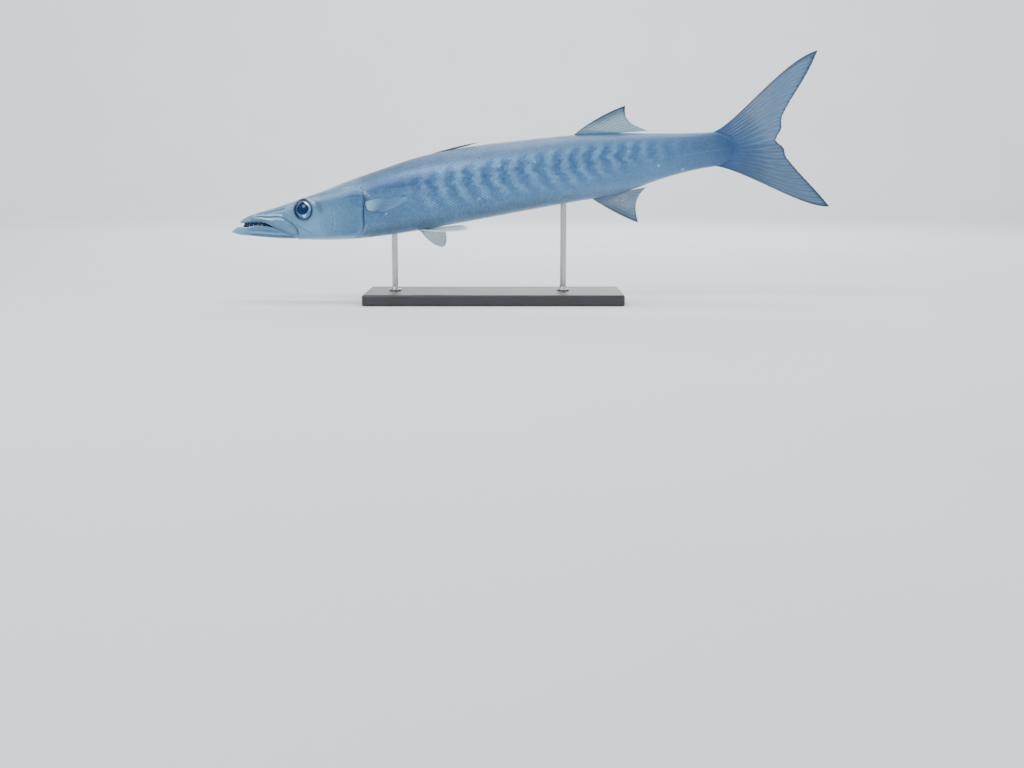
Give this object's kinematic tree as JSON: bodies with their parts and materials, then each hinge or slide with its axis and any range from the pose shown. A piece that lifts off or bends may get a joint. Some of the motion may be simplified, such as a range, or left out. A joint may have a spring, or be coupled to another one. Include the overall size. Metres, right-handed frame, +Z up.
{
  "type": "barracuda model",
  "caption": "Life-size barracuda with a barred, scaled body, forked tail fin, toothed jaws slightly open, held by short rods on a flat base.",
  "frame": {"origin": "middle of the underside of the stand's base", "axes": "+Z up, +X towards the tail; the head is at -X and the fish's left side faces -Y"},
  "size_m": [0.9753, 0.17, 0.4045],
  "materials": {
    "skin": "painted resin fish skin, satin, silvery",
    "gill_plate": "painted resin, smooth, silvery",
    "fin": "thin translucent resin with rays",
    "eye": "polished",
    "tooth": "ivory, polished",
    "mouth": "moist flesh",
    "stand_base": "black satin lacquer",
    "stand_rod": "brushed"
  },
  "bodies": {
    "root": {"head": "skin", "jaw_lower": "skin", "maxilla_left": "gill_plate", "maxilla_right": "gill_plate", "gill_cover_left": "gill_plate", "gill_cover_right": "gill_plate", "eye_left": "eye", "eye_right": "eye", "torso_front": "skin", "torso_rear": "skin", "tail_stalk": "skin", "fin_pectoral_left": "fin", "fin_pectoral_right": "fin", "fin_pelvic_left": "fin", "fin_pelvic_right": "fin", "fin_dorsal_first": "fin", "fin_dorsal_second": "fin", "fin_anal": "fin", "fin_caudal_upper": "fin", "fin_caudal_lower": "fin", "stand_base": "stand_base", "stand_rod_front": "stand_rod", "stand_rod_rear": "stand_rod"}
  },
  "joints": []
}
